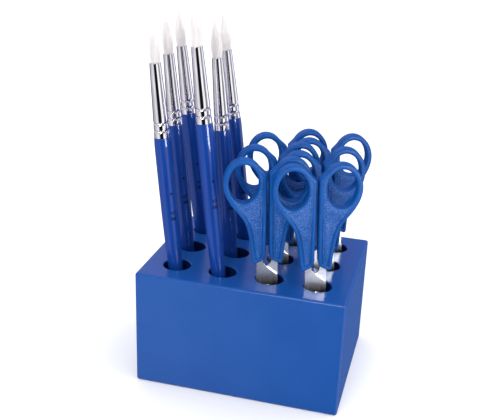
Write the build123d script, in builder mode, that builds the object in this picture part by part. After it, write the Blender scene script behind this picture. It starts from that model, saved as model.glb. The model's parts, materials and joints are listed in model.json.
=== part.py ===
"""Desk caddy for a model-making table: a drilled wooden block that keeps six round paint
brushes and six small pairs of scissors upright.

The origin is the centre of the block's underside. X runs along its long side, Y towards
its back and Z up. Lengths are in millimetres.
"""
from build123d import *
import os
from math import cos, radians, sin

# ---- block ----
BLOCK_LENGTH = 144.0
BLOCK_DEPTH = 111.0
BLOCK_HEIGHT = 84.0
EDGE_RADIUS = 1.8
HOLE_RADIUS = 9.5
HOLE_DEPTH = 52.0
HOLE_PITCH = 33.0
HOLE_CHAMFER = 0.5
COLUMNS = 4
ROWS = 3

# ---- running gaps ----
BOTTOM_GAP = 0.4          # tool end above the bottom of its hole
GLUE_LINE = 0.03          # between pieces that are bonded, crimped or moulded together
BLADE_GAP = 0.05          # from the shear plane to each blade
RIVET_CLEARANCE = 0.05    # radial, rivet shank in the turning blade

# ---- brush, measured along its own axis from the mouth of its hole ----
BRUSH_YAW = 14.3          # direction in plan of the plane that the brushes lean in
HANDLE_RISE = 92.0        # visible handle
LONG_RISE = 105.0         # the one brush with a longer handle
HANDLE_TAIL_RADIUS = 3.7
HANDLE_MOUTH_RADIUS = 5.0
HANDLE_BELLY_RADIUS = 5.8
BELLY_DROP = 8.0          # belly below the ferrule
SHOULDER_RADIUS = 5.4
TENON_LENGTH = 14.0
FERRULE_LENGTH = 48.5
FERRULE_LOW_RADIUS = 5.3
FERRULE_HIGH_RADIUS = 3.65
FERRULE_WALL = 0.4
CRIMP_RISES = (4.6, 9.6)  # crimp grooves above the ferrule's lower end
CRIMP_DEPTH = 0.35
CRIMP_WIDTH = 2.0
HAIR_LENGTH = 26.4        # outside the ferrule
HAIR_ROOT = 7.0           # inside the ferrule
HAIR_BELLY_RADIUS = 3.9
GLUE_LENGTH = 6.0

# ---- scissors, in a plane of their own: across, and up from the mouth of the hole ----
PIVOT_RISE = -7.0
BLADE_THICKNESS = 1.6
BLADE_HALF_WIDTH = 7.15
NOTCH_RISE = 8.9          # bottom of the V between the two halves
CROSSING_RISE = 3.0       # where the front blade's sloped edge meets its back
GRIND_RISE = 4.0          # top of the ground face
GRIND_DEPTH = 0.12
TANG_ROOT_RISE = 5.0      # the tang's outline starts this low, well inside the blade
TANG_STEP_RISE = 22.0
TANG_STEP = 1.5
TANG_TOP = 46.0
TANG_INNER = 2.9
TANG_NECK = 3.6
TANG_TOP_OUTER = 8.9
TANG_TOP_INNER = 5.4
SHOULDER_RISE = NOTCH_RISE + TANG_INNER
HEEL_ARC_INSET = 1.4      # middle of the arc that leads from the heel to the cutting edge
HEEL_ARC_DROP = 3.4
EDGE_START = -12.0
EDGE_ACROSS = 3.2
TIP_ACROSS = 1.4
TIP_EDGE_RISE = 2.2       # end of the straight cutting edge above the tip
TIP_BACK_ACROSS = 1.2
TIP_BACK_RISE = 1.8
BACK_START = -15.0        # where the blade's back begins to curve in
BACK_INSET = 0.3
BACK_BELLY_ACROSS = 4.9
BACK_BELLY_RISE = -33.8
BEVEL_WIDTH = 2.2
BEVEL_DEPTH = 0.9
BEVEL_OVERCUT = 1.0
GRIP_HALF_THICKNESS = 4.0
GRIP_EDGE_RADIUS = 1.1
LOOP_ACROSS = 15.6        # finger loop's centre
LOOP_RISE = 69.0
LOOP_HALF_WIDTH = 9.7
LOOP_HALF_HEIGHT = 12.9
LOOP_RING = 3.7
RING_LEAVE = 140.0        # angle at which the ring's outside turns into the straight inner edge
CROTCH = (0.7, 75.2)      # top of the inner edge
INNER_LOW = (1.2, 19.0)   # its lower end, where the foot opens out
FOOT_INNER = (2.2, 15.3)
FOOT_OUTER = (9.8, 11.3)
WAIST = ((11.6, 26.0), (13.0, 34.6), (15.5, 42.5), (23.3, 53.5))
WAIST_START = (0.12, 1)   # direction of the outer edge at the foot
RIVET_RADIUS = 2.0
RIVET_HEAD_RADIUS = 3.3
RIVET_HEAD_HEIGHT = 0.8

# Each brush: column, row, offset of its axis in the mouth, lean in degrees, visible handle.
BRUSHES = (
    (0, 0, -1.4, 5.3, HANDLE_RISE),
    (0, 1, -4.0, 5.5, HANDLE_RISE),
    (0, 2, -4.0, 6.5, HANDLE_RISE),
    (1, 0, -3.2, 6.1, LONG_RISE),
    (1, 1, -4.0, 5.1, HANDLE_RISE),
    (1, 2, -3.0, 6.9, HANDLE_RISE),
)
# Each pair of scissors: column, row, offset, lean and yaw in degrees.
SCISSORS = (
    (2, 0, -1.9, 1.9, 20.0),
    (2, 1, -1.6, 3.2, 22.0),
    (2, 2, -1.7, 3.6, 24.0),
    (3, 0, -1.9, 2.4, 20.5),
    (3, 1, -1.9, 4.9, 21.0),
    (3, 2, -1.9, 4.8, 24.0),
)

os.makedirs("parts", exist_ok=True)


def save(piece, name):
    """Labels a finished piece and writes it to its own file."""
    piece.part.label = name
    export_step(piece.part, f"parts/{name}.step")


def hole_centre(column, row):
    """Mouth of a hole: columns count from the left and rows from the front."""
    x = (column - (COLUMNS - 1) / 2) * HOLE_PITCH
    y = (row - (ROWS - 1) / 2) * HOLE_PITCH
    return Vector(x, y, BLOCK_HEIGHT)


def tool_plane(column, row, offset, lean, yaw):
    """A tool's own plane: its origin on the tool's axis at the mouth of the hole, x across
    the tool, y up its axis and z towards the front."""
    across_flat = Vector(cos(radians(yaw)), sin(radians(yaw)), 0)
    across = across_flat * cos(radians(lean)) + Vector(0, 0, sin(radians(lean)))
    front = Vector(sin(radians(yaw)), -cos(radians(yaw)), 0)
    return Plane(hole_centre(column, row) + across_flat * offset, x_dir=across, z_dir=front)


def tool_axis(plane):
    return Axis(plane.origin, plane.y_dir)


# ---------------------------------------------------------------- block
with BuildPart() as block:
    with BuildSketch(Plane.XY):
        Rectangle(BLOCK_LENGTH, BLOCK_DEPTH)
    extrude(amount=BLOCK_HEIGHT)
    fillet(block.edges(), radius=EDGE_RADIUS)
    with BuildSketch(Plane.XY.offset(BLOCK_HEIGHT)):
        with GridLocations(HOLE_PITCH, HOLE_PITCH, COLUMNS, ROWS):
            Circle(HOLE_RADIUS)
    extrude(amount=-HOLE_DEPTH, mode=Mode.SUBTRACT)
    top_face = block.faces().sort_by(Axis.Z)[-1]
    chamfer(top_face.edges().filter_by(GeomType.CIRCLE), length=HOLE_CHAMFER)
save(block, "block")


# ---------------------------------------------------------------- brushes
def ferrule_radius(rise, inset):
    """Radius of the ferrule's straight taper at a height above its lower end."""
    slope = (FERRULE_HIGH_RADIUS - FERRULE_LOW_RADIUS) / FERRULE_LENGTH
    return FERRULE_LOW_RADIUS + slope * rise - inset


def crimped_runs(base, inset, top):
    """The ferrule's outline from its lower end up to a height, as runs of points: two for
    each straight run and three for the arc of each crimp groove."""
    runs = []
    start = (ferrule_radius(0, inset), base)
    for rise in CRIMP_RISES:
        low, high = rise - CRIMP_WIDTH / 2, rise + CRIMP_WIDTH / 2
        lip_low = (ferrule_radius(low, inset), base + low)
        valley = (ferrule_radius(rise, inset) - CRIMP_DEPTH, base + rise)
        lip_high = (ferrule_radius(high, inset), base + high)
        runs.append((start, lip_low))
        runs.append((lip_low, valley, lip_high))
        start = lip_high
    runs.append((start, (ferrule_radius(top, inset), base + top)))
    return runs


def draw_runs(runs):
    for run in runs:
        if len(run) == 2:
            Line(*run)
        else:
            ThreePointArc(*run)


def brush_handle(plane, rise):
    """Turned handle: round tail, slow swell to the belly, shoulder, and crimped tenon."""
    tail = BOTTOM_GAP - HOLE_DEPTH
    tenon = crimped_runs(rise, FERRULE_WALL + GLUE_LINE, TENON_LENGTH)
    tenon_foot = tenon[0][0]
    tenon_top = tenon[-1][-1]
    with BuildPart() as handle:
        with BuildSketch(plane):
            with BuildLine():
                round_end = RadiusArc((0, tail), (HANDLE_TAIL_RADIUS, tail + HANDLE_TAIL_RADIUS),
                                      -HANDLE_TAIL_RADIUS)
                Spline(
                    round_end @ 1,
                    (HANDLE_MOUTH_RADIUS, 0),
                    (HANDLE_BELLY_RADIUS, rise - BELLY_DROP),
                    (SHOULDER_RADIUS, rise),
                    tangents=[(0, 1), (-1, 6)],
                )
                Line((SHOULDER_RADIUS, rise), tenon_foot)
                draw_runs(tenon)
                Line(tenon_top, (0, rise + TENON_LENGTH))
                Line((0, rise + TENON_LENGTH), (0, tail))
            make_face()
        revolve(axis=tool_axis(plane))
    return handle


def brush_ferrule(plane, rise):
    """Thin drawn tube, tapered, with two crimp grooves rolled into both walls."""
    outside = crimped_runs(rise, 0, FERRULE_LENGTH)
    inside = crimped_runs(rise, FERRULE_WALL, FERRULE_LENGTH)
    with BuildPart() as ferrule:
        with BuildSketch(plane):
            with BuildLine():
                draw_runs(outside)
                draw_runs(inside)
                Line(outside[0][0], inside[0][0])
                Line(outside[-1][-1], inside[-1][-1])
            make_face()
        revolve(axis=tool_axis(plane))
    return ferrule


def brush_glue(plane, rise):
    """Set resin that holds the hair inside the ferrule."""
    low = FERRULE_LENGTH - HAIR_ROOT - GLUE_LENGTH
    high = FERRULE_LENGTH - HAIR_ROOT - GLUE_LINE
    inset = FERRULE_WALL + GLUE_LINE
    with BuildPart() as glue:
        with BuildSketch(plane):
            with BuildLine():
                Polyline(
                    (0, rise + low),
                    (ferrule_radius(low, inset), rise + low),
                    (ferrule_radius(high, inset), rise + high),
                    (0, rise + high),
                    close=True,
                )
            make_face()
        revolve(axis=tool_axis(plane))
    return glue


def brush_hair(plane, rise):
    """Bundle of hair: a tapered root in the ferrule, a slight belly, and a fine point."""
    inset = FERRULE_WALL + GLUE_LINE
    lip = rise + FERRULE_LENGTH
    root_radius = ferrule_radius(FERRULE_LENGTH - HAIR_ROOT, inset)
    lip_radius = ferrule_radius(FERRULE_LENGTH, inset)
    with BuildPart() as hair:
        with BuildSketch(plane):
            with BuildLine():
                Line((0, lip - HAIR_ROOT), (root_radius, lip - HAIR_ROOT))
                Line((root_radius, lip - HAIR_ROOT), (lip_radius, lip))
                Spline(
                    (lip_radius, lip),
                    (HAIR_BELLY_RADIUS, lip + 0.25 * HAIR_LENGTH),
                    (0.62 * HAIR_BELLY_RADIUS, lip + 0.66 * HAIR_LENGTH),
                    (0, lip + HAIR_LENGTH),
                    tangents=[(1, 4), (-1, 2.4)],
                )
                Line((0, lip + HAIR_LENGTH), (0, lip - HAIR_ROOT))
            make_face()
        revolve(axis=tool_axis(plane))
    return hair


for number, (column, row, offset, lean, rise) in enumerate(BRUSHES, start=1):
    own_plane = tool_plane(column, row, offset, lean, BRUSH_YAW)
    save(brush_handle(own_plane, rise), f"brush_{number}_handle")
    save(brush_ferrule(own_plane, rise), f"brush_{number}_ferrule")
    save(brush_glue(own_plane, rise), f"brush_{number}_glue")
    save(brush_hair(own_plane, rise), f"brush_{number}_hair")


# ---------------------------------------------------------------- scissors
# The front blade runs up into the left grip and the back blade into the right one. Both
# halves share one outline: side is -1 for the left half and +1 for the right half.
def tang_outline(side, grow):
    """The part of the blade inside the grip, grown by a gap all round."""
    points = (
        (BLADE_HALF_WIDTH + grow, TANG_ROOT_RISE),
        (BLADE_HALF_WIDTH + grow, TANG_STEP_RISE),
        (TANG_TOP_OUTER + grow, TANG_TOP + grow),
        (TANG_TOP_INNER - grow, TANG_TOP + grow),
        (TANG_NECK - grow, TANG_STEP_RISE + TANG_STEP + grow),
        (TANG_INNER - grow, TANG_STEP_RISE + grow),
        (TANG_INNER - grow, TANG_ROOT_RISE),
    )
    Polyline(*[(side * across, up) for across, up in points], close=True)


def blade_outline(side):
    """From the shoulder under the grip, down the cutting edge, round the tip, up the
    blade's back and along the slope that crosses over the other blade."""
    tip = BOTTOM_GAP - HOLE_DEPTH
    shoulder = (side * BLADE_HALF_WIDTH, SHOULDER_RISE)
    heel = (side * BLADE_HALF_WIDTH, PIVOT_RISE)
    heel_middle = (side * (BLADE_HALF_WIDTH - HEEL_ARC_INSET), PIVOT_RISE - HEEL_ARC_DROP)
    edge_top = (side * EDGE_ACROSS, EDGE_START)
    edge_low = (side * TIP_ACROSS, tip + TIP_EDGE_RISE)
    back_low = (-side * TIP_BACK_ACROSS, tip + TIP_BACK_RISE)
    back_belly = (-side * BACK_BELLY_ACROSS, BACK_BELLY_RISE)
    back_high = (-side * (BLADE_HALF_WIDTH - BACK_INSET), BACK_START)
    back_root = (-side * BLADE_HALF_WIDTH, PIVOT_RISE)
    crossing = (-side * BLADE_HALF_WIDTH, CROSSING_RISE)
    notch = (0, NOTCH_RISE)
    stub = (side * TANG_INNER, SHOULDER_RISE)
    Line(shoulder, heel)
    ThreePointArc(heel, heel_middle, edge_top)
    Line(edge_top, edge_low)
    ThreePointArc(edge_low, (0, tip), back_low)
    ThreePointArc(back_low, back_belly, back_high)
    Polyline(back_high, back_root, crossing, notch, stub, shoulder)


def scissor_blade(plane, side):
    """Stamped and ground blade. Below the crossing it lies on the other side of the middle
    from its grip, with its cutting edge towards its grip's side."""
    shear_face = plane.offset(-side * BLADE_GAP)
    ground_thickness = BLADE_THICKNESS - GRIND_DEPTH
    edge_high = Vector(side * EDGE_ACROSS, EDGE_START)
    edge_end = Vector(side * TIP_ACROSS, BOTTOM_GAP - HOLE_DEPTH)
    edge_run = shear_face.from_local_coords(edge_end) - shear_face.from_local_coords(edge_high)
    inwards = edge_run.cross(plane.z_dir) * -side
    edge_section = Plane(
        shear_face.from_local_coords(edge_high), x_dir=inwards, z_dir=edge_run
    )
    bevel_rise = BEVEL_OVERCUT * BEVEL_DEPTH / BEVEL_WIDTH
    with BuildPart() as blade:
        with BuildSketch(shear_face):
            with BuildLine():
                blade_outline(side)
            make_face()
            with BuildLine():
                tang_outline(side, 0)
            make_face()
        extrude(amount=-side * BLADE_THICKNESS)
        with BuildSketch(shear_face.offset(-side * ground_thickness)):
            with Locations((0, GRIND_RISE - HOLE_DEPTH)):
                Rectangle(4 * BLADE_HALF_WIDTH, 2 * HOLE_DEPTH)
        extrude(amount=-side * BLADE_THICKNESS, mode=Mode.SUBTRACT)
        with BuildSketch(edge_section):
            with BuildLine():
                Polyline(
                    (-BEVEL_OVERCUT, ground_thickness - BEVEL_DEPTH - bevel_rise),
                    (BEVEL_WIDTH + BEVEL_OVERCUT, ground_thickness + bevel_rise),
                    (-BEVEL_OVERCUT, ground_thickness + bevel_rise),
                    close=True,
                )
            make_face()
        extrude(amount=edge_run.length, mode=Mode.SUBTRACT)
        with BuildSketch(shear_face):
            with Locations((0, PIVOT_RISE)):
                Circle(RIVET_RADIUS + (GLUE_LINE if side < 0 else RIVET_CLEARANCE))
        extrude(amount=-side * BLADE_THICKNESS, mode=Mode.SUBTRACT)
    return blade


def grip_outline(side):
    """Round ring at the top, straight inner edge, sloped foot and waisted outer edge."""
    outer_arc = EllipticalCenterArc(
        (side * LOOP_ACROSS, LOOP_RISE),
        LOOP_HALF_WIDTH + LOOP_RING,
        LOOP_HALF_HEIGHT + LOOP_RING,
        start_angle=0 if side > 0 else 180 - RING_LEAVE,
        arc_size=RING_LEAVE,
    )
    leave_point = outer_arc @ (1 if side > 0 else 0)
    side_point = outer_arc @ (0 if side > 0 else 1)
    inner = [(side * across, up) for across, up in (CROTCH, INNER_LOW, FOOT_INNER, FOOT_OUTER)]
    waist = [(side * across, up) for across, up in WAIST]
    Polyline(leave_point, *inner)
    Spline(
        inner[-1],
        *waist,
        side_point,
        tangents=[(side * WAIST_START[0], WAIST_START[1]), (0, 1)],
    )


def scissor_grip(plane, side):
    """Moulded half grip with one finger loop, and a pocket where its tang is moulded in."""
    with BuildPart() as grip:
        with BuildSketch(plane):
            with BuildLine():
                grip_outline(side)
            make_face()
            with Locations((side * LOOP_ACROSS, LOOP_RISE)):
                Ellipse(LOOP_HALF_WIDTH, LOOP_HALF_HEIGHT, mode=Mode.SUBTRACT)
        extrude(amount=GRIP_HALF_THICKNESS, both=True)
        rim = grip.edges().filter_by(
            lambda edge: abs(abs(plane.to_local_coords(edge @ 0.5).Z) - GRIP_HALF_THICKNESS) < 1e-3
        )
        fillet(rim, radius=GRIP_EDGE_RADIUS)
        with BuildSketch(plane.offset(-side * (BLADE_GAP - GLUE_LINE))):
            with BuildLine():
                tang_outline(side, GLUE_LINE)
            make_face()
        extrude(amount=-side * (BLADE_THICKNESS + 2 * GLUE_LINE), mode=Mode.SUBTRACT)
    return grip


def scissor_rivet(plane):
    """Domed rivet through both blades."""
    seat = BLADE_GAP + BLADE_THICKNESS - GRIND_DEPTH + GLUE_LINE
    crown = seat + RIVET_HEAD_HEIGHT
    pivot = plane.from_local_coords((0, PIVOT_RISE, 0))
    with BuildPart() as rivet:
        with BuildSketch(Plane(pivot, x_dir=plane.x_dir, z_dir=plane.y_dir)):
            with BuildLine():
                TangentArc((0, crown), (RIVET_HEAD_RADIUS, seat), tangent=(1, 0))
                Polyline(
                    (RIVET_HEAD_RADIUS, seat),
                    (RIVET_RADIUS, seat),
                    (RIVET_RADIUS, -seat),
                    (RIVET_HEAD_RADIUS, -seat),
                )
                TangentArc((0, -crown), (RIVET_HEAD_RADIUS, -seat), tangent=(1, 0))
                Line((0, -crown), (0, crown))
            make_face()
        revolve(axis=Axis(pivot, plane.z_dir))
    return rivet


for number, (column, row, offset, lean, yaw) in enumerate(SCISSORS, start=1):
    own_plane = tool_plane(column, row, offset, lean, yaw)
    save(scissor_blade(own_plane, -1), f"scissors_{number}_front_blade")
    save(scissor_blade(own_plane, 1), f"scissors_{number}_back_blade")
    save(scissor_grip(own_plane, -1), f"scissors_{number}_left_grip")
    save(scissor_grip(own_plane, 1), f"scissors_{number}_right_grip")
    save(scissor_rivet(own_plane), f"scissors_{number}_rivet")
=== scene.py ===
"""Looks of the tool storage caddy: a painted, drilled block with six round brushes and six pairs of
scissors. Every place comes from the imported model: tools stand on the axes of their joints.
"""
import json
from math import cos, pi, radians, sin, tan

import bpy
import numpy as np
from mathutils import Matrix, Vector
from mathutils.geometry import delaunay_2d_cdt


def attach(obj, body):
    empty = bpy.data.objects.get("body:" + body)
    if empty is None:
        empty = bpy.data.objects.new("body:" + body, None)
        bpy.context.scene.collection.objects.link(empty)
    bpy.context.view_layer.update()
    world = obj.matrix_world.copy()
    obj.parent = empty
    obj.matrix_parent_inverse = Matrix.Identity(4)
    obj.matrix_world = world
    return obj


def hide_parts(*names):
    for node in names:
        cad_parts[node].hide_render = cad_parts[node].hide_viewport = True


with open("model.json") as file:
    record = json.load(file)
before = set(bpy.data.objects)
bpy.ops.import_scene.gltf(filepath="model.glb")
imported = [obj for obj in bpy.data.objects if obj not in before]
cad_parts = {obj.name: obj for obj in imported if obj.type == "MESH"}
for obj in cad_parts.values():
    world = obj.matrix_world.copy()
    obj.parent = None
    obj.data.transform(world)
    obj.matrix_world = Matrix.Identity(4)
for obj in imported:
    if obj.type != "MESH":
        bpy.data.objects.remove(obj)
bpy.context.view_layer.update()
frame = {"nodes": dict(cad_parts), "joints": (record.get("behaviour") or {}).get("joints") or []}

MM = 0.001
SEED = 7
rng = np.random.default_rng(SEED)
JOINTS = {joint["name"]: joint for joint in frame["joints"]}
BRUSHES = [f"brush_{n}" for n in range(1, 7)]
SCISSORS = [f"scissors_{n}" for n in range(1, 7)]


# ------------------------------------------------------------------ camera, light, floor
CAMERA_AZIMUTH, CAMERA_ELEVATION, CAMERA_ROLL = radians(14.28), radians(21.59), radians(2.2)
CAMERA_PLACE = Vector((0.12235, -0.5097, 0.3262))
LENS, SENSOR = 57.9, 36.0    # both in millimetres
FLOOR_HALF = 6.0
# Each lamp: place, target, size in metres, power in watts.
KEY = ((-0.19, -1.93, 1.13), (0, 0, 0.1), (0.55, 0.55), 16)
WINDOW = ((0.235, -0.205, 0.185), (-0.05, -0.03, 0.185), (0.11, 0.16), 1.5)


def add_camera():
    """The camera looks down from the front right, with a normal lens and a slight roll."""
    level = cos(CAMERA_ELEVATION)
    forward = Vector((
        -sin(CAMERA_AZIMUTH) * level, cos(CAMERA_AZIMUTH) * level, -sin(CAMERA_ELEVATION)
    ))
    flat_right = Vector((cos(CAMERA_AZIMUTH), sin(CAMERA_AZIMUTH), 0))
    flat_up = flat_right.cross(forward)
    right = cos(CAMERA_ROLL) * flat_right + sin(CAMERA_ROLL) * flat_up
    up = -sin(CAMERA_ROLL) * flat_right + cos(CAMERA_ROLL) * flat_up
    camera = bpy.data.objects.new("camera", bpy.data.cameras.new("camera"))
    camera.data.lens = LENS
    camera.data.sensor_width = SENSOR
    camera.data.clip_start = 0.01
    camera.matrix_world = basis_matrix(right, up, -forward, CAMERA_PLACE)
    bpy.context.scene.collection.objects.link(camera)
    bpy.context.scene.camera = camera


def basis_matrix(x, y, z, origin):
    rows = Matrix((x, y, z)).transposed().to_4x4()
    rows.translation = origin
    return rows


def aim(position, target):
    """A matrix that stands at position with its -Z axis towards target."""
    back = (Vector(position) - Vector(target)).normalized()
    side = Vector((0, 0, 1)).cross(back).normalized()
    return basis_matrix(side, back.cross(side), back, Vector(position))


def add_area_light(name, position, target, size, power, glossy_only=False):
    light = bpy.data.lights.new(name, "AREA")
    light.shape = "RECTANGLE"
    light.size, light.size_y = size
    light.energy = power
    lamp = bpy.data.objects.new(name, light)
    lamp.matrix_world = aim(position, target)
    lamp.visible_camera = False
    if glossy_only:
        lamp.visible_diffuse = False
        lamp.visible_transmission = False
    bpy.context.scene.collection.objects.link(lamp)
    return lamp


def keep_off(lamp, pieces):
    """Stops a lamp from lighting some pieces."""
    skipped = bpy.data.collections.new(f"{lamp.name}_skips")
    for piece in pieces:
        skipped.objects.link(piece)
    for member in skipped.collection_objects:
        member.light_linking.link_state = "EXCLUDE"
    lamp.light_linking.receiver_collection = skipped


def add_floor():
    """White paper that reflections don't see: they see the world under it."""
    half = FLOOR_HALF
    corners = [(-half, -half, 0), (half, -half, 0), (half, half, 0), (-half, half, 0)]
    mesh = bpy.data.meshes.new("floor")
    mesh.from_pydata(corners, [], [(0, 1, 2, 3)])
    floor = bpy.data.objects.new("floor", mesh)
    bpy.context.scene.collection.objects.link(floor)
    surface = Nodes("floor_paper")
    shader = surface.add("BsdfPrincipled", Roughness=0.9)
    shader.inputs["Specular IOR Level"].default_value = 0.1
    grain = surface.add("TexNoise", Scale=900.0, Detail=3.0)
    surface.link(surface.object_coordinates(), "Object", grain, "Vector")
    stops = [(0.3, (0.91, 0.91, 0.915)), (0.7, (0.94, 0.94, 0.945))]
    surface.ramp(grain, "Fac", stops, shader, "Base Color")
    surface.link(shader, "BSDF", surface.output, "Surface")
    mesh.materials.append(surface.material)
    floor.visible_glossy = False


# What the tools see round them, by direction. Each stop is (degrees from -Y towards +X, colour).
# MIRROR_LOW and MIRROR_HIGH are for reflections below and above the horizon: a dark room behind
# the camera, bright panels on its right, a lilac backdrop. One passes into the other between
# the two heights in MIRROR_BAND. No colour is above MIRROR_STRENGTH.
MIRROR_STRENGTH = 1.6
MIRROR_BAND = (-0.1, 0.2)
MIRROR_LOW = (
    (-180, (0.11, 0.18, 0.42)),
    (-150, (0.04, 0.04, 0.06)),
    (-118, (0.04, 0.04, 0.06)),
    (-100, (0.42, 0.40, 0.45)),
    (-60, (0.68, 0.65, 0.72)),
    (-30, (0.95, 0.92, 0.98)),
    (-16, (0.85, 0.82, 0.88)),
    (-8, (0.008, 0.008, 0.012)),
    (36, (0.008, 0.008, 0.012)),
    (41, (1.20, 1.20, 1.21)),
    (70, (1.20, 1.20, 1.21)),
    (76, (0.20, 0.19, 0.22)),
    (92, (0.20, 0.19, 0.22)),
    (98, (0.46, 0.44, 0.49)),
    (112, (0.60, 0.58, 0.63)),
    (117, (1.50, 1.50, 1.50)),
    (136, (1.50, 1.50, 1.50)),
    (143, (0.08, 0.12, 0.30)),
    (180, (0.11, 0.18, 0.42)),
)
MIRROR_HIGH = (
    (-180, (0.28, 0.28, 0.62)),
    (-172, (0.36, 0.33, 0.74)),
    (-156, (0.76, 0.68, 1.15)),
    (-60, (0.75, 0.72, 0.80)),
    (-16, (0.20, 0.20, 0.22)),
    (40, (0.20, 0.20, 0.22)),
    (90, (0.60, 0.58, 0.68)),
    (150, (0.42, 0.40, 0.72)),
    (180, (0.28, 0.28, 0.62)),
)
# The light on matt surfaces: fullest from above and from the right.
SOFT_STRENGTH = 2.5
SOFT_BAND = (0.2, 0.6)
SOFT_LOW = (
    (-180, (0.34, 0.34, 0.36)),
    (-110, (0.30, 0.30, 0.32)),
    (-50, (0.56, 0.56, 0.58)),
    (0, (0.78, 0.78, 0.78)),
    (60, (0.95, 0.95, 0.98)),
    (110, (2.35, 2.40, 2.40)),
    (150, (1.35, 1.36, 1.50)),
    (180, (0.34, 0.34, 0.36)),
)
SOFT_HIGH = (
    (-180, (1.24, 1.24, 1.31)),
    (45, (1.22, 1.22, 1.29)),
    (90, (1.95, 1.95, 2.05)),
    (140, (1.75, 1.75, 1.85)),
    (180, (1.24, 1.24, 1.31)),
)
BACKDROP = 1.15          # what the camera sees above the floor's far edge


def add_world():
    """Soft white light from all round, a darker studio for reflections, a white backdrop."""
    world = bpy.data.worlds.new("studio")
    world.use_nodes = True
    surface = Nodes("studio", world)
    direction = surface.add("SeparateXYZ")
    surface.link(surface.object_coordinates(), "Generated", direction, "Vector")
    ahead = surface.add("Math", operation="MULTIPLY")
    ahead.inputs[1].default_value = -1.0
    surface.link(direction, "Y", ahead, 0)
    azimuth = surface.add("Math", operation="ARCTAN2")
    surface.link(direction, "X", azimuth, 0)
    surface.link(ahead, "Value", azimuth, 1)
    share = surface.add("MapRange")
    share.inputs["From Min"].default_value = -pi
    share.inputs["From Max"].default_value = pi
    surface.link(azimuth, "Value", share, "Value")
    rays = surface.add("LightPath")
    choice = surface.add("MixShader")
    surface.link(rays, "Is Glossy Ray", choice, 0)
    for socket, low, high, strength, band in (
        (1, SOFT_LOW, SOFT_HIGH, SOFT_STRENGTH, SOFT_BAND),
        (2, MIRROR_LOW, MIRROR_HIGH, MIRROR_STRENGTH, MIRROR_BAND),
    ):
        rise = surface.add("MapRange")
        rise.inputs["From Min"].default_value = band[0]
        rise.inputs["From Max"].default_value = band[1]
        surface.link(direction, "Z", rise, "Value")
        tone = surface.add("Mix", data_type="RGBA")
        surface.link(rise, "Result", tone, 0)
        for side, tones in ((6, low), (7, high)):
            stops = [
                ((degrees + 180) / 360, [channel / strength for channel in colour])
                for degrees, colour in tones
            ]
            surface.ramp(share, "Result", stops, tone, side)
        light = surface.add("Background", Strength=strength)
        surface.link(tone, 2, light, "Color")
        surface.link(light, "Background", choice, socket)
    backdrop = surface.add("Background", Color=(1, 1, 1, 1), Strength=BACKDROP)
    seen = surface.add("MixShader")
    surface.link(rays, "Is Camera Ray", seen, 0)
    surface.link(choice, "Shader", seen, 1)
    surface.link(backdrop, "Background", seen, 2)
    surface.link(seen, "Shader", surface.output, "Surface")
    bpy.context.scene.world = world


# ------------------------------------------------------------------ node materials
class Nodes:
    """A material with short calls to add and join its nodes."""

    def __init__(self, name, world=None):
        self.material = world or bpy.data.materials.new(name)
        self.material.use_nodes = True
        self.tree = self.material.node_tree
        self.tree.nodes.clear()
        self.output = self.tree.nodes.new("ShaderNodeOutput" + ("World" if world else "Material"))

    def add(self, kind, **values):
        node = self.tree.nodes.new("ShaderNode" + kind)
        for name, value in values.items():
            socket = name.replace("_", " ")
            if socket in node.inputs:
                node.inputs[socket].default_value = value
            else:
                setattr(node, name, value)
        return node

    def link(self, source, output, target, socket):
        self.tree.links.new(source.outputs[output], target.inputs[socket])

    def object_coordinates(self):
        return self.add("TexCoord")

    def tool_coordinates(self, basis):
        """Coordinates along a tool's own axes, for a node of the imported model."""
        turn = basis.inverted()
        mapping = self.add("Mapping")
        mapping.inputs["Location"].default_value = turn.translation
        mapping.inputs["Rotation"].default_value = turn.to_euler("XYZ")
        self.link(self.object_coordinates(), "Object", mapping, "Vector")
        return mapping, "Vector"

    def stored_coordinates(self):
        return self.add("Attribute", attribute_name="tool_place"), "Vector"

    def stretch(self, source, scale):
        """Coordinates scaled by a different amount along each axis."""
        mapping = self.add("Mapping")
        mapping.inputs["Scale"].default_value = scale
        self.link(source[0], source[1], mapping, "Vector")
        return mapping, "Vector"

    def noise(self, source, scale, detail=2.0, roughness=0.5):
        node = self.add("TexNoise", Scale=scale, Detail=detail, Roughness=roughness)
        self.link(source[0], source[1], node, "Vector")
        return node, "Fac"

    def math(self, operation, first, second=None):
        """A sum on two values, each a number or an output of a node."""
        node = self.add("Math", operation=operation)
        for socket, value in enumerate((first, second)):
            if isinstance(value, tuple):
                self.link(value[0], value[1], node, socket)
            elif value is not None:
                node.inputs[socket].default_value = value
        return node, "Value"

    def ramp(self, source, output, stops, target, socket):
        ramp = self.add("ValToRGB")
        elements = ramp.color_ramp.elements
        while len(elements) < len(stops):
            elements.new(0.5)
        for element, (position, colour) in zip(elements, stops):
            element.position = position
            element.color = (*colour, 1)
        self.link(source, output, ramp, "Fac")
        self.link(ramp, "Color", target, socket)
        return ramp

    def spread(self, source, low, high, target, socket, from_low=0.3, from_high=0.7):
        """Maps a 0..1 pattern onto a range of values."""
        node = self.add("MapRange")
        node.inputs["From Min"].default_value = from_low
        node.inputs["From Max"].default_value = from_high
        node.inputs["To Min"].default_value = low
        node.inputs["To Max"].default_value = high
        self.link(source[0], source[1], node, "Value")
        self.link(node, "Result", target, socket)
        return node

    def bump(self, layers, target):
        """Chains bumps: each layer is (pattern, height in metres, strength)."""
        previous = None
        for source, height, strength in layers:
            node = self.add("Bump", Strength=strength, Distance=height)
            self.link(source[0], source[1], node, "Height")
            if previous is not None:
                self.link(previous, "Normal", node, "Normal")
            previous = node
        self.link(previous, "Normal", target, "Normal")

    def finish(self, shader):
        self.link(shader, "BSDF", self.output, "Surface")
        return self.material


def principled(surface, **values):
    shader = surface.add("BsdfPrincipled")
    for name, value in values.items():
        shader.inputs[name.replace("_", " ")].default_value = value
    return shader


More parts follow.
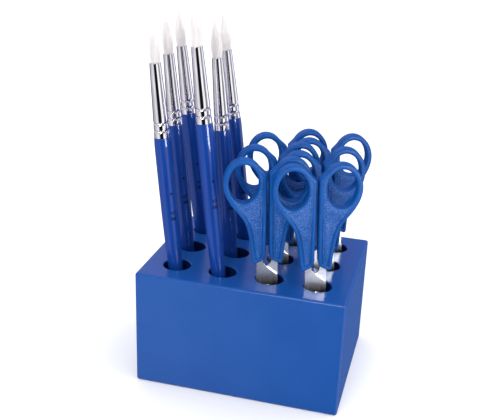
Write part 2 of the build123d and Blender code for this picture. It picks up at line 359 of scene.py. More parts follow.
# The bores of the block, in metres. The painted shade in the bores reaches just past the wall of
# each bore and stops just below the top face.
HOLE_PITCH = 0.033
BORE_RADIUS = 0.0097
MOUTH_HEIGHT = 0.0832


def block_paint():
    """Glossy paint over wood: a slight roller texture, a trace of the grain under it, and
    painted shade darkening the bores, which stand on a square grid."""
    surface = Nodes("block_paint")
    place = surface.object_coordinates(), "Object"
    shader = principled(surface, Specular_IOR_Level=0.3)
    patches = surface.noise(place, 28.0, 3.0)
    split = surface.add("SeparateXYZ")
    surface.link(place[0], place[1], split, "Vector")
    offsets = []
    for axis, shift in (("X", HOLE_PITCH / 2), ("Y", 0.0)):
        shifted = surface.math("SUBTRACT", (split, axis), shift)
        wrapped = surface.math("WRAP", shifted, HOLE_PITCH / 2)
        wrapped[0].inputs[2].default_value = -HOLE_PITCH / 2
        offsets.append(surface.math("MULTIPLY", wrapped, wrapped))
    radius = surface.math("SQRT", surface.math("ADD", *offsets))
    bore_shade_mask = surface.math("MULTIPLY", surface.math("LESS_THAN", radius, BORE_RADIUS),
                           surface.math("LESS_THAN", (split, "Z"), MOUTH_HEIGHT))
    tint = surface.add("Mix", data_type="RGBA")
    surface.link(bore_shade_mask[0], bore_shade_mask[1], tint, 0)
    stops = [(0.3, (0.006, 0.064, 0.275)), (0.7, (0.009, 0.071, 0.295))]
    surface.ramp(patches[0], patches[1], stops, tint, 6)
    # Painted shade: the dark blue given to the inside of the bores.
    tint.inputs[7].default_value = (0.002, 0.012, 0.075, 1)
    surface.link(tint, 2, shader, "Base Color")
    grain = surface.noise(surface.stretch(place, (14.0, 190.0, 190.0)), 1.0, 4.0, 0.6)
    roller = surface.noise(place, 620.0, 2.0)
    surface.spread(roller, 0.17, 0.25, shader, "Roughness")
    surface.bump([(grain, 0.00006, 0.35), (roller, 0.00003, 0.35)], shader)
    return surface.finish(shader)


def handle_lacquer():
    """Deep gloss lacquer on turned wood: faint streaks along the grain under a clear coat."""
    surface = Nodes("handle_lacquer")
    place = surface.stored_coordinates()
    shader = principled(surface, Roughness=0.3, Specular_IOR_Level=0.05)
    shader.inputs["Coat Weight"].default_value = 0.8
    shader.inputs["Coat Roughness"].default_value = 0.02
    shader.inputs["Coat IOR"].default_value = 1.4
    streaks = surface.noise(surface.stretch(place, (900.0, 22.0, 900.0)), 1.0, 3.0, 0.6)
    stops = [(0.35, (0.003, 0.034, 0.210)), (0.65, (0.006, 0.047, 0.270))]
    surface.ramp(streaks[0], streaks[1], stops, shader, "Base Color")
    orange_peel = surface.noise(place, 420.0, 1.0)
    surface.bump([(streaks, 0.00002, 0.25), (orange_peel, 0.00004, 0.2)], shader)
    return surface.finish(shader)


def ferrule_metal():
    """Bright plated tube with fine draw lines and a little tarnish along it."""
    surface = Nodes("ferrule_metal")
    place = surface.stored_coordinates()
    shader = principled(surface, Metallic=1.0)
    lines = surface.noise(surface.stretch(place, (2600.0, 12.0, 2600.0)), 1.0, 3.0, 0.6)
    streaks = surface.noise(surface.stretch(place, (700.0, 45.0, 700.0)), 1.0, 4.0, 0.65)
    stops = [(0.32, (0.66, 0.65, 0.69)), (0.6, (0.94, 0.935, 0.945))]
    surface.ramp(streaks[0], streaks[1], stops, shader, "Base Color")
    surface.spread(streaks, 0.055, 0.04, shader, "Roughness")
    surface.bump([(lines, 0.000002, 0.3)], shader)
    return surface.finish(shader)


def hair_white():
    """Fine white synthetic hair, with painted shade making it a little greyer between the strands.
    """
    surface = Nodes("brush_hair")
    place = surface.stored_coordinates()
    shader = principled(surface, Roughness=0.42)
    shader.inputs["Sheen Weight"].default_value = 0.25
    shader.inputs["Sheen Roughness"].default_value = 0.4
    shader.inputs["Specular IOR Level"].default_value = 0.35
    streaks = surface.noise(surface.stretch(place, (2400.0, 60.0, 2400.0)), 1.0, 3.0, 0.65)
    # The darker stop is painted shade between the strands.
    stops = [(0.25, (0.79, 0.755, 0.735)), (0.7, (0.95, 0.92, 0.90))]
    surface.ramp(streaks[0], streaks[1], stops, shader, "Base Color")
    surface.bump([(streaks, 0.00008, 0.5)], shader)
    return surface.finish(shader)


def glue_resin():
    """Cloudy amber resin, hidden in the ferrule."""
    surface = Nodes("glue_resin")
    place = surface.object_coordinates(), "Object"
    shader = principled(surface, Roughness=0.3)
    cloud = surface.noise(place, 500.0, 3.0)
    stops = [(0.3, (0.42, 0.28, 0.10)), (0.7, (0.60, 0.44, 0.20))]
    surface.ramp(cloud[0], cloud[1], stops, shader, "Base Color")
    surface.spread(cloud, 0.22, 0.4, shader, "Roughness")
    return surface.finish(shader)


# Painted sheen: light specks on the panel grow towards the ring, between these heights above the
# rivet in metres.
SHEEN_LOW, SHEEN_HIGH = 0.030, 0.055


def grip_plastic():
    """Satin moulded plastic: leather-like grain on the panels, smoother on the beads."""
    surface = Nodes("grip_plastic")
    place = surface.stored_coordinates()
    panel = surface.add("Attribute", attribute_name="panel"), "Fac"
    shader = principled(surface, Specular_IOR_Level=0.12)
    cells = surface.add("TexVoronoi", Scale=1500.0)
    surface.link(place[0], place[1], cells, "Vector")
    grain = surface.math("MULTIPLY", (cells, "Distance"), panel)
    cloud = surface.noise(place, 110.0, 3.0)
    fine = surface.noise(place, 3000.0, 2.0, 0.6)
    specks = surface.noise(place, 1700.0, 2.0, 0.7)
    split = surface.add("SeparateXYZ")
    surface.link(place[0], place[1], split, "Vector")
    # Painted sheen: the light specks are fullest towards the ring.
    sheen_rise = surface.add("MapRange", interpolation_type="SMOOTHSTEP")
    sheen_rise.inputs["From Min"].default_value = SHEEN_LOW
    sheen_rise.inputs["From Max"].default_value = SHEEN_HIGH
    sheen_rise.inputs["To Min"].default_value = 0.45
    sheen_rise.inputs["To Max"].default_value = 1.0
    surface.link(split, "Y", sheen_rise, "Value")
    bright = surface.add("MapRange")
    bright.inputs["From Min"].default_value = 0.48
    bright.inputs["From Max"].default_value = 0.75
    surface.link(specks[0], specks[1], bright, "Value")
    scuffs_and_sheen = surface.math("MULTIPLY", (sheen_rise, "Result"), panel)
    painted_sheen = surface.math("MULTIPLY", (bright, "Result"), scuffs_and_sheen)
    pattern = surface.math("ADD", painted_sheen, surface.math("MULTIPLY", cloud, 0.5))
    # The top stop is the whitish painted sheen on the specks; the lower two are the plastic's own
    # blue.
    stops = [
        (0.15, (0.002, 0.062, 0.265)),
        (0.35, (0.004, 0.080, 0.320)),
        (0.95, (0.120, 0.210, 0.500)),
    ]
    surface.ramp(pattern[0], pattern[1], stops, shader, "Base Color")
    surface.spread(fine, 0.30, 0.42, shader, "Roughness")
    surface.bump([(grain, 0.00035, 1.0), (specks, 0.00018, 0.7), (fine, 0.00003, 0.6)], shader)
    return surface.finish(shader)


# Heights on the blade in metres above the rivet: the top of the ground part, and the stretch
# over which painted shade darkens the steel towards the hole.
GRIND_RISE = 0.0108
SHADE_LOW, SHADE_HIGH = 0.006, 0.017


def blade_steel(name, basis, dark, light):
    """Stainless blade: satin above the grind line, lengthwise grinding marks below it, and
    painted shade darkening it towards the hole. Dark and light are its greys at the bottom and at
    the top."""
    surface = Nodes(name)
    place = surface.tool_coordinates(basis)
    shader = principled(surface, Metallic=1.0)
    marks = surface.noise(surface.stretch(place, (2300.0, 60.0, 2300.0)), 1.0, 3.0, 0.7)
    grit = surface.noise(place, 2000.0, 3.0, 0.7)
    split = surface.add("SeparateXYZ")
    surface.link(place[0], place[1], split, "Vector")
    ground = surface.math("LESS_THAN", (split, "Y"), GRIND_RISE)
    pattern = surface.add("Mix", data_type="FLOAT")
    surface.link(ground[0], ground[1], pattern, 0)
    surface.link(grit[0], grit[1], pattern, 2)
    surface.link(marks[0], marks[1], pattern, 3)
    shade = surface.add("MapRange")
    shade.inputs["From Min"].default_value = SHADE_LOW
    shade.inputs["From Max"].default_value = SHADE_HIGH
    surface.link(split, "Y", shade, "Value")
    shaded = surface.math("MULTIPLY", (shade, "Result"), 0.6)
    tone = surface.math("ADD", shaded, surface.math("MULTIPLY", (pattern, 0), 0.8))
    stops = [(0.25, (dark, dark, dark)), (1.0, (light, light, light))]
    surface.ramp(tone[0], tone[1], stops, shader, "Base Color")
    surface.spread((pattern, 0), 0.26, 0.42, shader, "Roughness")
    surface.bump([((pattern, 0), 0.00004, 0.7)], shader)
    return surface.finish(shader)


def rivet_steel():
    """Plain steel, lightly scuffed."""
    surface = Nodes("rivet_steel")
    place = surface.object_coordinates(), "Object"
    shader = principled(surface, Metallic=1.0)
    scuffs_and_sheen = surface.noise(place, 1500.0, 3.0, 0.7)
    stops = [(0.3, (0.50, 0.49, 0.49)), (0.7, (0.70, 0.69, 0.70))]
    surface.ramp(scuffs_and_sheen[0], scuffs_and_sheen[1], stops, shader, "Base Color")
    surface.spread(scuffs_and_sheen, 0.18, 0.34, shader, "Roughness")
    surface.bump([(scuffs_and_sheen, 0.00002, 0.4)], shader)
    return surface.finish(shader)


def mark_ink():
    """Printed black mark, a little worn."""
    surface = Nodes("mark_ink")
    place = surface.object_coordinates(), "Object"
    shader = principled(surface, Specular_IOR_Level=0.08)
    wear = surface.noise(place, 2500.0, 3.0, 0.7)
    stops = [(0.25, (0.008, 0.010, 0.025)), (0.55, (0.002, 0.002, 0.005))]
    surface.ramp(wear[0], wear[1], stops, shader, "Base Color")
    surface.spread(wear, 0.45, 0.6, shader, "Roughness")
    return surface.finish(shader)


# ------------------------------------------------------------------ mesh helpers
def make_piece(name, vertices, faces, basis, material, body, replaced=(), panel=None):
    """Makes a smooth mesh from millimetres in a tool's own axes, and lets it ride a body."""
    local = np.asarray(vertices, float) * MM
    turn = np.array(basis.to_3x3())
    placed = local @ turn.T + np.array(basis.translation)
    mesh = bpy.data.meshes.new(name)
    mesh.from_pydata(placed.tolist(), [], [list(map(int, face)) for face in faces])
    mesh.polygons.foreach_set("use_smooth", np.ones(len(mesh.polygons), bool))
    stored = mesh.attributes.new("tool_place", "FLOAT_VECTOR", "POINT")
    stored.data.foreach_set("vector", local.astype(np.float32).ravel())
    if panel is not None:
        share = mesh.attributes.new("panel", "FLOAT", "POINT")
        share.data.foreach_set("value", np.asarray(panel, np.float32))
    mesh.materials.append(material)
    mesh.update()
    piece = bpy.data.objects.new(name, mesh)
    bpy.context.scene.collection.objects.link(piece)
    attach(piece, body)
    if replaced:
        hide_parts(*replaced)
    return piece


def set_material(node, material):
    mesh = frame["nodes"][node].data
    mesh.materials.clear()
    mesh.materials.append(material)


def smoothstep(low, high, value):
    t = np.clip((value - low) / (high - low), 0, 1)
    return t * t * (3 - 2 * t)


# ------------------------------------------------------------------ tool axes
def brush_basis(name):
    """Origin at the tip of the hair, Y up the brush, Z towards the front."""
    up = Vector(JOINTS[f"{name}_lift"]["axis"]).normalized()
    hair = frame["nodes"][f"{name}_hair"].data
    tip = max((vertex.co for vertex in hair.vertices), key=lambda place: place.dot(up))
    lean = Vector((-up.x, -up.y, 0)).normalized()
    front = lean.cross(Vector((0, 0, 1)))
    across = up.cross(front).normalized()
    return basis_matrix(across, up, across.cross(up), tip.copy())


def scissors_basis(name):
    """Origin on the rivet's axis, Y up the scissors, Z towards the front."""
    up = Vector(JOINTS[f"{name}_lift"]["axis"]).normalized()
    front = -Vector(JOINTS[f"{name}_open"]["axis"]).normalized()
    pivot = Vector(JOINTS[f"{name}_open"]["pos_m"])
    return basis_matrix(up.cross(front).normalized(), up, front, pivot)


# ------------------------------------------------------------------ scissor grips
# Lengths in millimetres, across from the middle and up from the mouth of the hole, which is
# MOUTH_RISE above the rivet.
MOUTH_RISE = 7.0
LOOP_ACROSS, LOOP_RISE = 15.6, 69.0
LOOP_HALF_WIDTH, LOOP_HALF_HEIGHT, LOOP_RING = 9.7, 12.9, 3.7
RING_LEAVE = radians(140)
CROTCH = (0.7, 75.2)
INNER_LOW = (1.2, 19.0)
INNER_FOOT = (2.2, 15.3)
OUTER_FOOT = (9.8, 11.3)
WAIST = ((11.6, 26.0), (13.0, 34.6), (15.5, 42.5), (23.3, 53.5))
WAIST_START = (0.12, 1)
HALF_THICKNESS = 4.0
EDGE_ROUND = 1.3
OUTLINE_STEP = 0.62
SKIN = 0.05               # the moulding stays this much inside its collision solid
# Corner radii of the outline at the crotch and at the foot's inner and outer ends.
CROTCH_ROUND, FOOT_INNER_ROUND, FOOT_OUTER_ROUND = 1.5, 0.8, 1.5
# Rows of mesh points at these depths inside both outlines; a plain grid fills the rest.
ROW_DEPTHS = (0.08, 0.25, 0.5, 0.85, 1.3, 1.75, 2.05, 2.3, 2.5, 2.75, 3.05, 3.35, 3.6, 3.85, 4.15)
GRID_STEP, GRID_CLEAR = 1.0, 4.6
# The raised detail: a groove inside the outline, the sunk panel, a line by the inner edge.
SHANK_LOW, SHANK_HIGH = 43, 56
GROOVE_INSET, GROOVE_WIDTH, GROOVE_DEPTH = 2.45, 0.3, 0.45
LINE_INSET, LINE_WIDTH, LINE_DEPTH = 3.7, 0.25, 0.45
PANEL_DEPTH = 0.50
# The rows down the side: share of the half thickness, and how far the row stands out.
SIDE_ROWS = ((0.55, 0.0), (0.06, 0.0), (0.0, 0.04), (-0.06, 0.0), (-0.55, 0.0))


def clamped_spline(points, start, end, count):
    """Smooth curve through the points, with given directions at its two ends."""
    p = np.array(points, float)
    gaps = np.hypot(*np.diff(p, axis=0).T)
    n = len(p)
    a = np.zeros((n, n))
    b = np.zeros((n, 2))
    a[0, 0] = a[-1, -1] = 1
    b[0] = np.array(start) / np.linalg.norm(start)
    b[-1] = np.array(end) / np.linalg.norm(end)
    for i in range(1, n - 1):
        h0, h1 = gaps[i - 1], gaps[i]
        a[i, i - 1], a[i, i], a[i, i + 1] = h1, 2 * (h0 + h1), h0
        b[i] = 3 * (h1 * (p[i] - p[i - 1]) / h0 + h0 * (p[i + 1] - p[i]) / h1)
    slopes = np.linalg.solve(a, b)
    made = []
    for i in range(n - 1):
        for t in np.linspace(0, 1, count, endpoint=False):
            h = gaps[i]
            made.append(
                (1 + 2 * t) * (1 - t) ** 2 * p[i] + t * (1 - t) ** 2 * h * slopes[i]
                + t * t * (3 - 2 * t) * p[i + 1] + t * t * (t - 1) * h * slopes[i + 1]
            )
    return np.array(made + [p[-1]])


def rounded_corner(before, corner, after, radius, count=7):
    """Points of the arc that rounds a corner."""
    corner = np.array(corner, float)
    u = np.array(before, float) - corner
    v = np.array(after, float) - corner
    u, v = u / np.linalg.norm(u), v / np.linalg.norm(v)
    half = np.arccos(np.clip(u @ v, -1, 1)) / 2
    middle = (u + v) / np.linalg.norm(u + v)
    centre = corner + middle * radius / sin(half)
    first, last = corner + u * radius / tan(half), corner + v * radius / tan(half)
    made = []
    for t in np.linspace(0, 1, count):
        ray = (1 - t) * (first - centre) + t * (last - centre)
        made.append(centre + radius * ray / np.linalg.norm(ray))
    return made


def resample(points, step):
    """Even spacing round a closed outline."""
    p = np.array(points, float)
    p = p[np.concatenate(([True], np.hypot(*np.diff(p, axis=0).T) > 1e-6))]
    closed = np.vstack([p, p[:1]])
    run = np.concatenate(([0], np.cumsum(np.hypot(*np.diff(closed, axis=0).T))))
    count = int(run[-1] / step)
    at = np.linspace(0, run[-1], count, endpoint=False)
    return np.column_stack([np.interp(at, run, closed[:, k]) for k in (0, 1)])


def grip_outlines():
    """Outer outline, anticlockwise, and finger hole, clockwise, of the right-hand grip."""
    ring_x, ring_y = LOOP_HALF_WIDTH + LOOP_RING, LOOP_HALF_HEIGHT + LOOP_RING
    angles = np.linspace(0, RING_LEAVE, 60)
    ring = np.column_stack([
        LOOP_ACROSS + ring_x * np.cos(angles),
        LOOP_RISE + ring_y * np.sin(angles),
    ])
    crotch = rounded_corner(ring[-1], CROTCH, INNER_LOW, CROTCH_ROUND)
    inner = rounded_corner(INNER_LOW, INNER_FOOT, OUTER_FOOT, FOOT_INNER_ROUND)
    outer = rounded_corner(INNER_FOOT, OUTER_FOOT, WAIST[0], FOOT_OUTER_ROUND)
    waist = clamped_spline([OUTER_FOOT, *WAIST, ring[0]], WAIST_START, (0, 1), 14)
    waist = waist[waist[:, 1] > outer[-1][1] + 0.3]
    whole = np.vstack([ring, crotch, [INNER_LOW], inner, outer, waist[:-1]])
    outline = resample(whole, OUTLINE_STEP)
    turn = np.linspace(0, -2 * pi, 400, endpoint=False)
    hole = np.column_stack([
        LOOP_ACROSS + LOOP_HALF_WIDTH * np.cos(turn),
        LOOP_RISE + LOOP_HALF_HEIGHT * np.sin(turn),
    ])
    return outline, resample(hole, OUTLINE_STEP)


def distance_to(points, loop):
    """Distance of each point to a closed outline."""
    a, b = loop, np.roll(loop, -1, axis=0)
    ab = b - a
    best = np.full(len(points), 1e9)
    for start, run in zip(a, ab):
        t = np.clip(((points - start) @ run) / (run @ run), 0, 1)
        best = np.minimum(best, np.hypot(*(points - start - t[:, None] * run).T))
    return best


def inside(points, loop):
    """True for each point that lies inside a closed outline."""
    a, b = loop, np.roll(loop, -1, axis=0)
    odd = np.zeros(len(points), bool)
    for (x0, y0), (x1, y1) in zip(a, b):
        if y0 != y1:
            crosses = (points[:, 1] < y0) != (points[:, 1] < y1)
            odd ^= crosses & (points[:, 0] < (x1 - x0) * (points[:, 1] - y0) / (y1 - y0) + x0)
    return odd


def inner_edge_distance(points):
    """Distance to the long straight inner edge, from its foot up to the crotch."""
    foot, top = np.array(INNER_LOW), np.array(CROTCH)
    run = top - foot
    t = np.clip(((points - foot) @ run) / (run @ run), 0, 1)
    return np.hypot(*(points - foot - t[:, None] * run).T)


def grip_height(points, outline, hole):
    """Half thickness at each point: rounded edges, a bead round the shank with a groove
    inside it, a sunk panel, and a second line beside the inner edge."""
    to_outline = distance_to(points, outline)
    edge = np.minimum(to_outline, distance_to(points, hole))
    shank = 1 - smoothstep(SHANK_LOW, SHANK_HIGH, points[:, 1])
    top = HALF_THICKNESS - SKIN - 0.25 * shank
    depth = EDGE_ROUND - np.minimum(edge, EDGE_ROUND)
    height = top - EDGE_ROUND + np.sqrt(np.maximum(EDGE_ROUND ** 2 - depth ** 2, 0))
    sunk = smoothstep(1.9, 2.5, to_outline) * shank
    groove = np.exp(-(((to_outline - GROOVE_INSET) / GROOVE_WIDTH) ** 2)) * shank
    beside = inner_edge_distance(points)
    line = np.exp(-(((beside - LINE_INSET) / LINE_WIDTH) ** 2))
    line *= 1 - smoothstep(52, 62, points[:, 1])
    height -= PANEL_DEPTH * sunk + GROOVE_DEPTH * groove + LINE_DEPTH * line
    grain = smoothstep(2.4, 3.0, to_outline) * smoothstep(0.6, 1.6, edge)
    return height, grain


def grip_mesh():
    """Vertices, triangles and grain share of the right-hand grip."""
    outline, hole = grip_outlines()
    outline = outline + SKIN * inward(outline)
    hole = hole + SKIN * inward(hole)
    flat = [outline, hole]
    for loop in (outline, hole):
        for depth in ROW_DEPTHS:
            ring = loop + depth * inward(loop)
            clear = np.minimum(distance_to(ring, outline), distance_to(ring, hole)) > depth - 0.03
            flat.append(ring[clear & inside(ring, outline) & ~inside(ring, hole)])
    xs, ys = np.meshgrid(np.arange(0, 31, GRID_STEP), np.arange(10, 90, GRID_STEP * 0.866))
    xs[1::2] += GRID_STEP / 2
    grid = np.column_stack([xs.ravel(), ys.ravel()])
    far = np.minimum(distance_to(grid, outline), distance_to(grid, hole)) > GRID_CLEAR
    flat.append(grid[far & inside(grid, outline) & ~inside(grid, hole)])
    points = np.vstack(flat)
    loops = []
    start = 0
    for loop in (outline, hole):
        n = len(loop)
        loops += [(start + i, start + (i + 1) % n) for i in range(n)]
        start += n
    made = delaunay_2d_cdt([Vector(p) for p in points], loops, [], 0, 1e-5, False)
    plan = np.array([tuple(v) for v in made[0]])
    faces = np.array(made[2])
    middles = plan[faces].mean(axis=1)
    faces = faces[inside(middles, outline) & ~inside(middles, hole)]
    height, grain = grip_height(plan, outline, hole)
    count = len(plan)
    front = np.column_stack([plan, height])
    back = np.column_stack([plan, -height])
    triangles = [tuple(face) for face in faces]
    triangles += [(a + count, c + count, b + count) for a, b, c in faces]
    walls, wall_faces = side_wall(plan, height, faces, count)
    share = np.concatenate([grain, grain, np.zeros(len(walls))])
    return np.vstack([front, back, walls]), triangles + wall_faces, share


def inward(loop):
    """Unit normals pointing into the plastic, to the left of the direction of travel."""
    run = np.roll(loop, -1, axis=0) - np.roll(loop, 1, axis=0)
    run /= np.hypot(*run.T)[:, None]
    return np.column_stack([-run[:, 1], run[:, 0]])


def side_wall(plan, height, faces, count):
    """Rows of quads down the edge, with the fine raised line where the mould halves meet."""
    edges = {}
    for a, b, c in faces:
        for i, j in ((a, b), (b, c), (c, a)):
            edges[(i, j)] = True
    rim = [(i, j) for (i, j) in edges if (j, i) not in edges]
    following = dict(rim)
    outwards = {}
    before = {j: i for i, j in rim}
    for i, j in rim:
        run = plan[j] - plan[before[i]]
        run = run / np.hypot(*run)
        outwards[i] = np.array([run[1], -run[0]])
    added, where = [], {}
    for i in following:
        for k, (level, out) in enumerate(SIDE_ROWS):
            where[(i, k)] = 2 * count + len(added)
            added.append((*(plan[i] + out * outwards[i]), level * height[i]))
    made = []
    for i, j in rim:
        column_i = [i] + [where[(i, k)] for k in range(len(SIDE_ROWS))] + [i + count]
        column_j = [j] + [where[(j, k)] for k in range(len(SIDE_ROWS))] + [j + count]
        for k in range(len(column_i) - 1):
            made.append((column_i[k], column_i[k + 1], column_j[k + 1], column_j[k]))
    return np.array(added), made


def add_grips(plastic):
    vertices, faces, grain = grip_mesh()
    vertices = vertices + np.array([0, MOUTH_RISE, 0])
    mirrored = vertices * np.array([-1, 1, 1])
    flipped = [tuple(reversed(face)) for face in faces]
    for name in SCISSORS:
        basis = scissors_basis(name)
        for side, body, places, corners in (
            ("left", name, mirrored, flipped),
            ("right", f"{name}_back_half", vertices, faces),
        ):
            make_piece(f"{name}_{side}_grip_moulding", places, corners, basis, plastic, body,
                       [f"{name}_{side}_grip"], grain)


# ------------------------------------------------------------------ turned parts of the brushes
# Lengths in millimetres, up the brush from the lower end of the ferrule.
TURNED_SIDES = 90
ROW_GAP, ROW_STEP = 0.7, 0.12     # handle rows this close in height and radius are left out
FERRULE_LENGTH = 48.5
FERRULE_LOW_RADIUS = 5.3
FERRULE_HIGH_RADIUS = 3.65
FERRULE_WALL = 0.4
CRIMP_RISES = (4.6, 9.6)
CRIMP_HALF_WIDTH = 1.0
CRIMP_DEPTH = 0.36
DIMPLE_DEPTH = 0.22
DIMPLES = 15
THROAT_DEPTH = 7.0        # bare part of the tube's inside, round the roots of the hair
LINING = 0.8
TENON_RADIUS = 4.5
TENON_SHOWN = 2.0
CRISP = 0.12              # narrow rows beside a turned edge keep it sharp when shaded


def turned(rows, closed):
    """Surface of revolution. Each row is a height and a function of the angle, or one radius.
    Closed rows join up into a tube; open ones are capped at both ends."""
    vertices, faces = [], []
    for rise, radius in rows:
        for k in range(TURNED_SIDES):
            angle = 2 * pi * k / TURNED_SIDES
            r = radius(angle) if callable(radius) else radius
            vertices.append((r * cos(angle), rise, r * sin(angle)))
    count = len(rows)
    for row in range(count if closed else count - 1):
        low, high = row * TURNED_SIDES, (row + 1) % count * TURNED_SIDES
        for k in range(TURNED_SIDES):
            following = (k + 1) % TURNED_SIDES
            faces.append((low + k, high + k, high + following, low + following))
    if not closed:
        faces.append(tuple(range(TURNED_SIDES)))
        faces.append(tuple(reversed(range((count - 1) * TURNED_SIDES, count * TURNED_SIDES))))
    return np.array(vertices), faces


def ferrule_radius(rise):
    return FERRULE_LOW_RADIUS + (FERRULE_HIGH_RADIUS - FERRULE_LOW_RADIUS) * rise / FERRULE_LENGTH


def crimped_radius(rise):
    """Radius of the ferrule's outside as a function of the angle, with its dimpled crimps."""
    groove = sum(max(0.0, 1 - abs(rise - crimp) / CRIMP_HALF_WIDTH) for crimp in CRIMP_RISES)
    valley = groove * groove * (3 - 2 * groove)
    return lambda angle: (
        ferrule_radius(rise) - CRIMP_DEPTH * groove
        - DIMPLE_DEPTH * valley * (0.5 + 0.5 * cos(DIMPLES * angle))
    )


def add_ferrule(name, metal):
    near = [crimp + step for crimp in CRIMP_RISES for step in np.linspace(-1.1, 1.1, 15)]
    ends = (CRISP, FERRULE_LENGTH - CRISP)
    rises = np.unique(np.concatenate((near, ends, np.linspace(0, FERRULE_LENGTH, 24))))
    rows = [(rise, crimped_radius(rise)) for rise in rises]
    throat = FERRULE_LENGTH - THROAT_DEPTH
    for rise, inset in (
        (FERRULE_LENGTH, CRISP),
        (FERRULE_LENGTH, FERRULE_WALL - CRISP),
        (FERRULE_LENGTH, FERRULE_WALL),
        (FERRULE_LENGTH - CRISP, FERRULE_WALL),
        (throat, FERRULE_WALL),
        (throat - 1, LINING),
        (0, LINING),
        (0, CRISP),
    ):
        rows.append((rise, ferrule_radius(rise) - inset))
    vertices, faces = turned(rows, closed=True)
    vertices = vertices - np.array([0, FERRULE_LENGTH + HAIR_LENGTH, 0])
    return make_piece(f"{name}_ferrule_tube", vertices, faces, brush_basis(name), metal, name,
                      [f"{name}_ferrule"])


def handle_profile(name, basis):
    """Heights and radii of the handle below the ferrule, read from its CAD mesh."""
    to_tool = basis.inverted()
    handle = frame["nodes"][f"{name}_handle"].data
    points = np.array([to_tool @ vertex.co for vertex in handle.vertices]) / MM
    radii = np.hypot(points[:, 0], points[:, 2])
    foot = -(FERRULE_LENGTH + HAIR_LENGTH)
    levels = {}
    for rise, radius in zip(np.round(points[:, 1], 2), radii):
        if rise <= foot + 0.02:
            levels[rise] = max(levels.get(rise, 0.0), radius)
    return sorted(levels.items())


def thinned(profile):
    """Leaves out the rows that lie close together along a gentle curve."""
    kept = [profile[0]]
    for rise, radius in profile[1:]:
        if rise - kept[-1][0] > ROW_GAP or abs(radius - kept[-1][1]) > ROW_STEP:
            kept.append((rise, radius))
    return kept


def add_handle(name, lacquer):
    basis = brush_basis(name)
    profile = handle_profile(name, basis)
    foot = profile[-1][0]
    edge = profile[-1][1]
    below = np.interp(foot - CRISP, *zip(*profile))
    rows = [row for row in thinned(profile) if row[1] > 0.05 and row[0] < foot - CRISP]
    rows += [(foot - CRISP, below), (foot, edge), (foot, edge - CRISP)]
    rows += [(foot, TENON_RADIUS), (foot + TENON_SHOWN, TENON_RADIUS)]
    vertices, faces = turned(rows, closed=False)
    make_piece(f"{name}_turned_handle", vertices, faces, basis, lacquer, name,
               [f"{name}_handle"])
    return profile


# ------------------------------------------------------------------ brush hair
HAIR_LENGTH = 26.4
HAIR_ROOT = 6.5
ROOT_RADIUS = 2.9
CORE_SIDES = 28
CORE_SHARE = 0.93         # of the bundle's radius
STRANDS = 330
SLACK = 0.965             # the bundle is drawn in this much, to stay in its CAD solid
# The bundle's outline: share of its height, radius.
HAIR_OUTLINE = (
    (0, 3.2), (0.1, 3.55), (0.25, 3.85), (0.4, 3.6), (0.55, 2.98),
    (0.66, 2.38), (0.78, 1.62), (0.88, 0.95), (0.95, 0.45), (1.0, 0.05),
)


def hair_radius(rise):
    """Radius of the bundle at a height above the ferrule: a slight belly, then the point."""
    return SLACK * np.interp(np.clip(rise / HAIR_LENGTH, 0, 1), *zip(*HAIR_OUTLINE))


def add_hair(name, white):
    """A slim core with several hundred tapered strands laid round it, all drawn to a point."""
    basis = brush_basis(name)
    vertices, faces = [], []
    rows = np.concatenate(([-HAIR_ROOT], np.linspace(0, 0.97 * HAIR_LENGTH, 22)))
    sides = CORE_SIDES
    for rise in rows:
        radius = CORE_SHARE * hair_radius(rise) if rise >= 0 else ROOT_RADIUS
        for k in range(sides):
            angle = 2 * pi * k / sides
            vertices.append((radius * cos(angle), rise, radius * sin(angle)))
    for r in range(len(rows) - 1):
        for k in range(sides):
            a, b = r * sides + k, r * sides + (k + 1) % sides
            faces.append((a, a + sides, b + sides, b))
    faces.append(tuple(range(sides)))
    faces.append(tuple(reversed(range((len(rows) - 1) * sides, len(rows) * sides))))
    for _ in range(STRANDS):
        add_strand(vertices, faces)
    placed = np.array(vertices) - np.array([0, HAIR_LENGTH, 0])
    make_piece(f"{name}_hair_bundle", placed, faces, basis, white, name, [f"{name}_hair"])


def add_strand(vertices, faces):
    """One hair: it follows the outside of the bundle, with a slight wander of its own."""
    depth = 1.0 - 0.10 * rng.random() ** 1.5
    angle = 2 * pi * rng.random()
    end = 0.996 - 0.16 * rng.random() ** 2.2
    wander = 0.05 * rng.normal(size=2)
    thick = 0.085 + 0.04 * rng.random()
    levels = np.concatenate(([-0.06], np.linspace(0, end, 13)))
    first = len(vertices)
    for level in levels:
        radius = depth * hair_radius(max(level, 0) * HAIR_LENGTH)
        turn = angle + wander[0] * sin(3 * level) + wander[1] * level
        centre = np.array([radius * cos(turn), level * HAIR_LENGTH, radius * sin(turn)])
        slim = thick * (1 - 0.75 * max(level, 0) ** 3)
        for k in range(3):
            spoke = turn + 2 * pi * k / 3
            vertices.append(tuple(centre + slim * np.array([cos(spoke), 0, sin(spoke)])))
    for r in range(len(levels) - 1):
        for k in range(3):
            a, b = first + 3 * r + k, first + 3 * r + (k + 1) % 3
            faces.append((a, a + 3, b + 3, b))
    faces.append((first, first + 1, first + 2))
    last = len(vertices) - 3
    faces.append((last + 2, last + 1, last))


# ------------------------------------------------------------------ size mark on the handles
# Lengths in millimetres, down from the tip of the hair.
MARK_DROP = 131.0
DOT_DROP = 113.0
MARK_TURN = radians(28)
MARK_STEPS = 36
INK_LIFT = 0.02


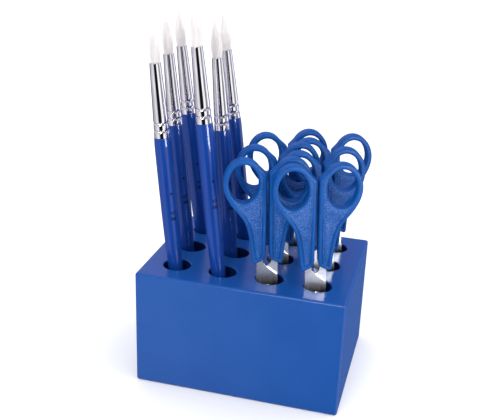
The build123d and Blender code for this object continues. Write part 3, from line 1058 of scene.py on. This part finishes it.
def add_mark(name, profile, ink):
    """A small printed figure 8, the brush's size, lying along the handle, and a dot."""
    basis = brush_basis(name)
    heights, radii = zip(*profile)
    vertices, faces = [], []

    def ring(along, around, half_length, half_width, line):
        first = len(vertices)
        for k in range(MARK_STEPS):
            angle = 2 * pi * k / MARK_STEPS
            for size in (0.0, line):
                s = around + (half_width - size) * cos(angle)
                y = along + (half_length - size) * sin(angle)
                lift = np.interp(y, heights, radii) + INK_LIFT
                turn = MARK_TURN + s / lift
                vertices.append((lift * sin(turn), y, lift * cos(turn)))
        for k in range(MARK_STEPS):
            a, b = first + 2 * k, first + 2 * ((k + 1) % MARK_STEPS)
            faces.append((a, b, b + 1, a + 1))

    ring(-MARK_DROP, -0.9, 1.05, 1.0, 0.6)
    ring(-MARK_DROP, 0.9, 1.2, 1.15, 0.65)
    ring(-MARK_DROP + 4.4, 0.0, 0.95, 1.75, 0.55)
    ring(-DOT_DROP, 0.0, 0.8, 0.8, 0.75)
    make_piece(f"{name}_size_mark", vertices, faces, basis, ink, name)


# ------------------------------------------------------------------ the scene
scene = bpy.context.scene
scene.view_settings.view_transform = "Standard"
scene.view_settings.look = "None"
add_camera()
add_world()
add_floor()
add_area_light("key", *KEY)
window = add_area_light("window", *WINDOW, glossy_only=True)

set_material("block", block_paint())
white, plastic, ink = hair_white(), grip_plastic(), mark_ink()
lacquer, metal, resin, rivet = handle_lacquer(), ferrule_metal(), glue_resin(), rivet_steel()
ferrules = []
for name in BRUSHES:
    set_material(f"{name}_glue", resin)
    for part, material in (("handle", lacquer), ("ferrule", metal), ("hair", white)):
        set_material(f"{name}_{part}", material)
    profile = add_handle(name, lacquer)
    ferrules.append(add_ferrule(name, metal))
    add_hair(name, white)
    add_mark(name, profile, ink)
keep_off(window, ferrules)
for name in SCISSORS:
    basis = scissors_basis(name)
    set_material(f"{name}_front_blade", blade_steel(f"{name}_front_steel", basis, 0.13, 0.74))
    # The back blade is the same steel with lighter greys: a painted highlight.
    set_material(f"{name}_back_blade", blade_steel(f"{name}_back_steel_painted_highlight", basis, 0.50, 0.92))
    set_material(f"{name}_rivet", rivet)
add_grips(plastic)
